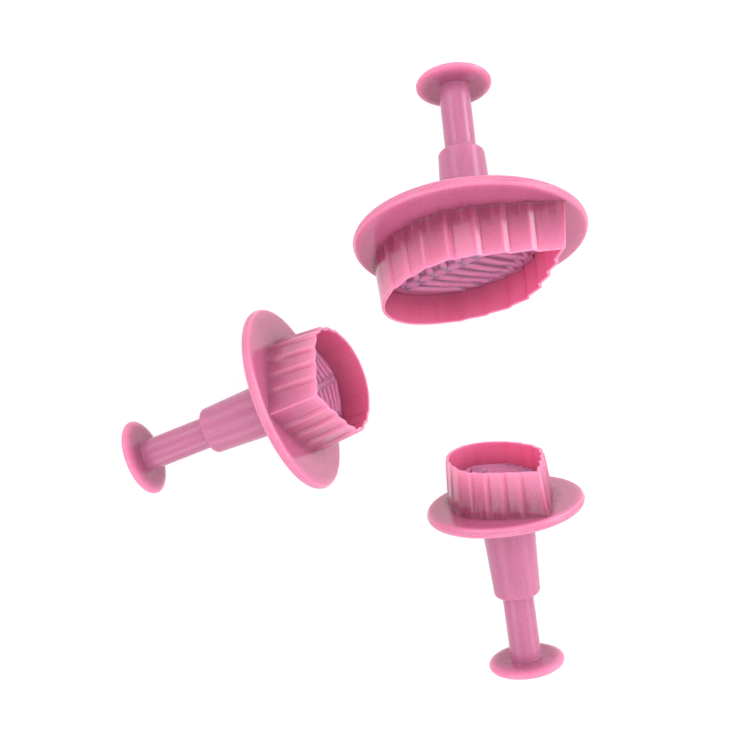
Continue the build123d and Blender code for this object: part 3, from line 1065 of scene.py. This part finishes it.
def cutters(scene):
    """Each cutter's word, its sizes and its place."""
    for size in CUTTERS:
        sizes = getattr(scene, size + "_cutter")
        yield size, sizes, cutter_place(size, sizes, scene.moulding)


class MakeBodies(bpy.types.Operator):
    """Make each cutter's flange, barrel and leaf ring"""

    bl_idname = "leaf_cutters.make_bodies"
    bl_label = "Flanges, barrels and leaf rings"

    def execute(self, context):
        scene = context.scene
        mould, form, plate = scene.moulding, scene.leaf_form, scene.plate_form
        for size, sizes, place in cutters(scene):
            rows, *tints = ring_and_flange(sizes, form, mould, plate)
            tints = [tint.ravel() for tint in tints]
            ring = build_mesh(
                size + "_ring_and_flange", [(rows, True)], place, lambda points: tints,
            )
            tube = build_mesh(size + "_barrel", [barrel(mould)], place, even_painted_shading)
            for piece, material in ((ring, "Pink moulding"), (tube, "Pink barrel")):
                finish_piece(piece, material, ROOT_BODY, size + "_cutter_body")
        return {"FINISHED"}


class MakePlungers(bpy.types.Operator):
    """Make each plunger's knob and shaft"""

    bl_idname = "leaf_cutters.make_plungers"
    bl_label = "Knobs and shafts"

    def execute(self, context):
        scene = context.scene
        mould, plate = scene.moulding, scene.plate_form
        for size, sizes, place in cutters(scene):
            knob = shaft_inner_end(sizes, mould) - mould.shaft_length
            piece = build_mesh(
                size + "_knob_and_shaft", [knob_and_shaft(sizes, mould, plate)], place,
                rim_painted_shading(mould.knob_radius, knob - mould.knob_thickness, knob),
            )
            finish_piece(piece, "Pink plunger", size + "_plunger_unit",
                         size + "_plunger")
        return {"FINISHED"}


class MakePlates(bpy.types.Operator):
    """Make each embossing plate with its veins, boss and stem"""

    bl_idname = "leaf_cutters.make_plates"
    bl_label = "Veined embossing plates"

    def execute(self, context):
        scene = context.scene
        mould, form, plate = scene.moulding, scene.leaf_form, scene.plate_form
        for size, sizes, place in cutters(scene):
            surfaces = [
                plate_slab(sizes, form, mould, plate), boss_and_stem(sizes, mould, plate),
                *veins(sizes, form, mould, plate),
            ]
            piece = build_mesh(
                size + "_veined_plate", surfaces, place, plate_painted_shading(sizes, mould, plate),
            )
            finish_piece(piece, "Pink plate", size + "_plunger_unit",
                         size + "_embossing_plate")
        return {"FINISHED"}


class MakeSprings(bpy.types.Operator):
    """Make each return spring"""

    bl_idname = "leaf_cutters.make_springs"
    bl_label = "Return springs"

    def execute(self, context):
        scene = context.scene
        mould, spring = scene.moulding, scene.spring_sizes
        for size, sizes, place in cutters(scene):
            surfaces = [coil(sizes, mould, spring)]
            piece = build_mesh(size + "_return_spring", surfaces, place, even_painted_shading)
            finish_piece(piece, "Spring steel", ROOT_BODY, size + "_spring")
            joint = press_joint(size)
            rest = -shaft_inner_end(sizes, mould)
            tuple(joint["axis"])
            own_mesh(piece)
        return {"FINISHED"}


class MakeStudio(bpy.types.Operator):
    """Make the white table, the soft light and the photograph's camera"""

    bl_idname = "leaf_cutters.make_studio"
    bl_label = "Table, light and camera"

    def execute(self, context):
        scene = context.scene
        look = scene.studio_look
        floor = bpy.data.meshes.new("table_top")
        ways = ((-1, -1), (1, -1), (1, 1), (-1, 1))
        corners = [(x * TABLE_REACH, y * TABLE_REACH, 0) for x, y in ways]
        floor.from_pydata(corners, [], [(0, 1, 2, 3)])
        table = bpy.data.objects.new("table_top", floor)
        scene.collection.objects.link(table)
        floor.materials.append(table_material(look))
        add_world(look)
        add_overhead_lamp(look.overhead)
        add_camera(scene)
        scene.view_settings.view_transform = "Standard"
        return {"FINISHED"}


def table_material(look):
    """White table: what the camera sees is white, less a share of the shadow on it.

    Glossy surfaces mirror it as bright as the horizon, so that no edge shows between the two.
    """
    material = bpy.data.materials.new("White table")
    material.use_nodes = True
    tree = material.node_tree
    shader = tree.nodes["Principled BSDF"]
    out = tree.nodes["Material Output"]
    shader.inputs["Base Color"].default_value = (0.9, 0.9, 0.9, 1)
    shader.inputs["Roughness"].default_value = 0.8
    shader.inputs["Specular IOR Level"].default_value = 0.1
    path = add_node(tree, "ShaderNodeLightPath", (-600, 300)).outputs
    strength = calculate(tree, (-200, -200), "MULTIPLY_ADD", path["Is Glossy Ray"],
                         look.horizon - TABLE_WHITE, TABLE_WHITE)
    glow = add_node(tree, "ShaderNodeEmission", (0, -200), {
        "Color": (1, 1, 1, 1), "Strength": strength})
    through = calculate(tree, (-400, 300), "MAXIMUM", path["Is Camera Ray"],
                        path["Is Transmission Ray"])
    seen = calculate(tree, (-200, 300), "MULTIPLY", through, 1 - look.shadow)
    amount = calculate(tree, (0, 300), "MAXIMUM", seen, path["Is Glossy Ray"])
    mix = add_node(tree, "ShaderNodeMixShader", (260, 100), {
        0: amount, 1: shader.outputs[0], 2: glow.outputs[0]})
    tree.links.new(mix.outputs[0], out.inputs["Surface"])
    return material


def add_world(look):
    """White light from all round, weaker near the horizon, with soft lamps in it.

    A lamp adds its light where the angle between its direction and the ray is small, and
    fades smoothly to nothing at its spread. The camera sees plain white instead.
    """
    world = bpy.data.worlds.new("Studio")
    bpy.context.scene.world = world
    world.use_nodes = True
    tree = world.node_tree
    back = tree.nodes["Background"]
    way = add_node(tree, "ShaderNodeTexCoord", (-1400, 0)).outputs["Generated"]
    parts = add_node(tree, "ShaderNodeSeparateXYZ", (-1200, 0), {"Vector": way})
    light = ranged(tree, (-1000, 0), parts.outputs["Z"], 0, 0.4, look.horizon, look.sky,
                   smooth=True)
    for row, (azimuth, elevation, spread, strength) in enumerate(LAMPS):
        around, up = np.radians(azimuth), np.radians(elevation)
        toward = (np.cos(around) * np.cos(up), np.sin(around) * np.cos(up), np.sin(up))
        near = add_node(tree, "ShaderNodeVectorMath", (-1200, -200 - 200 * row), {
            0: way, 1: toward}, operation="DOT_PRODUCT").outputs["Value"]
        lamp = ranged(tree, (-1000, -200 - 200 * row), near, np.cos(np.radians(spread)),
                      np.cos(np.radians(spread / 4)), 0, look.lamps * strength, smooth=True)
        light = calculate(tree, (-800 + 60 * row, -200 * row), "ADD", light, lamp)
    path = add_node(tree, "ShaderNodeLightPath", (-600, 300))
    seen = add_node(tree, "ShaderNodeMix", (-300, 100), {
        "Factor": path.outputs["Is Camera Ray"], "A": light, "B": 1})
    back.inputs["Color"].default_value = (1, 1, 1, 1)
    tree.links.new(seen.outputs["Result"], back.inputs["Strength"])


def add_overhead_lamp(radiance, size=0.8, height=1.2):
    """A broad square lamp over the table, which glossy surfaces don't mirror."""
    lamp = bpy.data.lights.new("overhead_lamp", "AREA")
    lamp.shape = "SQUARE"
    lamp.size = size
    lamp.energy = np.pi * size**2 * radiance
    holder = bpy.data.objects.new("overhead_lamp", lamp)
    holder.location = (0, 0, height)
    holder.visible_glossy = False
    bpy.context.scene.collection.objects.link(holder)


def add_camera(scene):
    """The photograph's camera, straight above the table and leaning a little."""
    lens = bpy.data.cameras.new("photo_camera")
    lens.lens = CAMERA_LENS
    lens.sensor_width = CAMERA_SENSOR
    lens.clip_start = 0.01
    lens.clip_end = 20
    camera = bpy.data.objects.new("photo_camera", lens)
    scene.collection.objects.link(camera)
    lean = (
        Matrix.Rotation(np.radians(CAMERA_LEAN_Y), 4, "Y")
        @ Matrix.Rotation(np.radians(CAMERA_LEAN_X), 4, "X")
    )
    camera.matrix_world = Matrix.Translation(CAMERA_PLACE) @ lean
    scene.camera = camera


GROUPS = {
    "large_cutter": LargeCutterSizes,
    "medium_cutter": MediumCutterSizes,
    "small_cutter": SmallCutterSizes,
    "leaf_form": LeafForm,
    "moulding": MouldingSizes,
    "plate_form": PlateForm,
    "spring_sizes": SpringSizes,
    "plastic_look": PlasticLook,
    "studio_look": StudioLook,
}
OPERATORS = (MakeBodies, MakePlungers, MakePlates, MakeSprings, MakeStudio)


class CutterPanel(bpy.types.Panel):
    """Sizes, colours and pieces of the leaf plunger cutters"""

    bl_idname = "VIEW3D_PT_leaf_cutters"
    bl_label = "Leaf plunger cutters"
    bl_space_type = "VIEW_3D"
    bl_region_type = "UI"
    bl_category = "Cutters"

    def draw(self, context):
        for name, group in GROUPS.items():
            box = self.layout.box()
            box.label(text=name.replace("_", " ").capitalize())
            for size in group.__annotations__:
                box.prop(getattr(context.scene, name), size)
        for operator in OPERATORS:
            self.layout.operator(operator.bl_idname)


def register():
    for name, group in GROUPS.items():
        bpy.utils.register_class(group)
        setattr(bpy.types.Scene, name, PointerProperty(type=group))
    for operator in OPERATORS:
        bpy.utils.register_class(operator)
    bpy.utils.register_class(CutterPanel)


def unregister():
    bpy.utils.unregister_class(CutterPanel)
    for operator in reversed(OPERATORS):
        bpy.utils.unregister_class(operator)
    for name, group in reversed(GROUPS.items()):
        delattr(bpy.types.Scene, name)
        bpy.utils.unregister_class(group)


def main():
    """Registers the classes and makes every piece."""
    register()
    bpy.ops.leaf_cutters.make_bodies()
    bpy.ops.leaf_cutters.make_plungers()
    bpy.ops.leaf_cutters.make_plates()
    bpy.ops.leaf_cutters.make_springs()
    bpy.ops.leaf_cutters.make_studio()


if __name__ == "__main__":
    main()
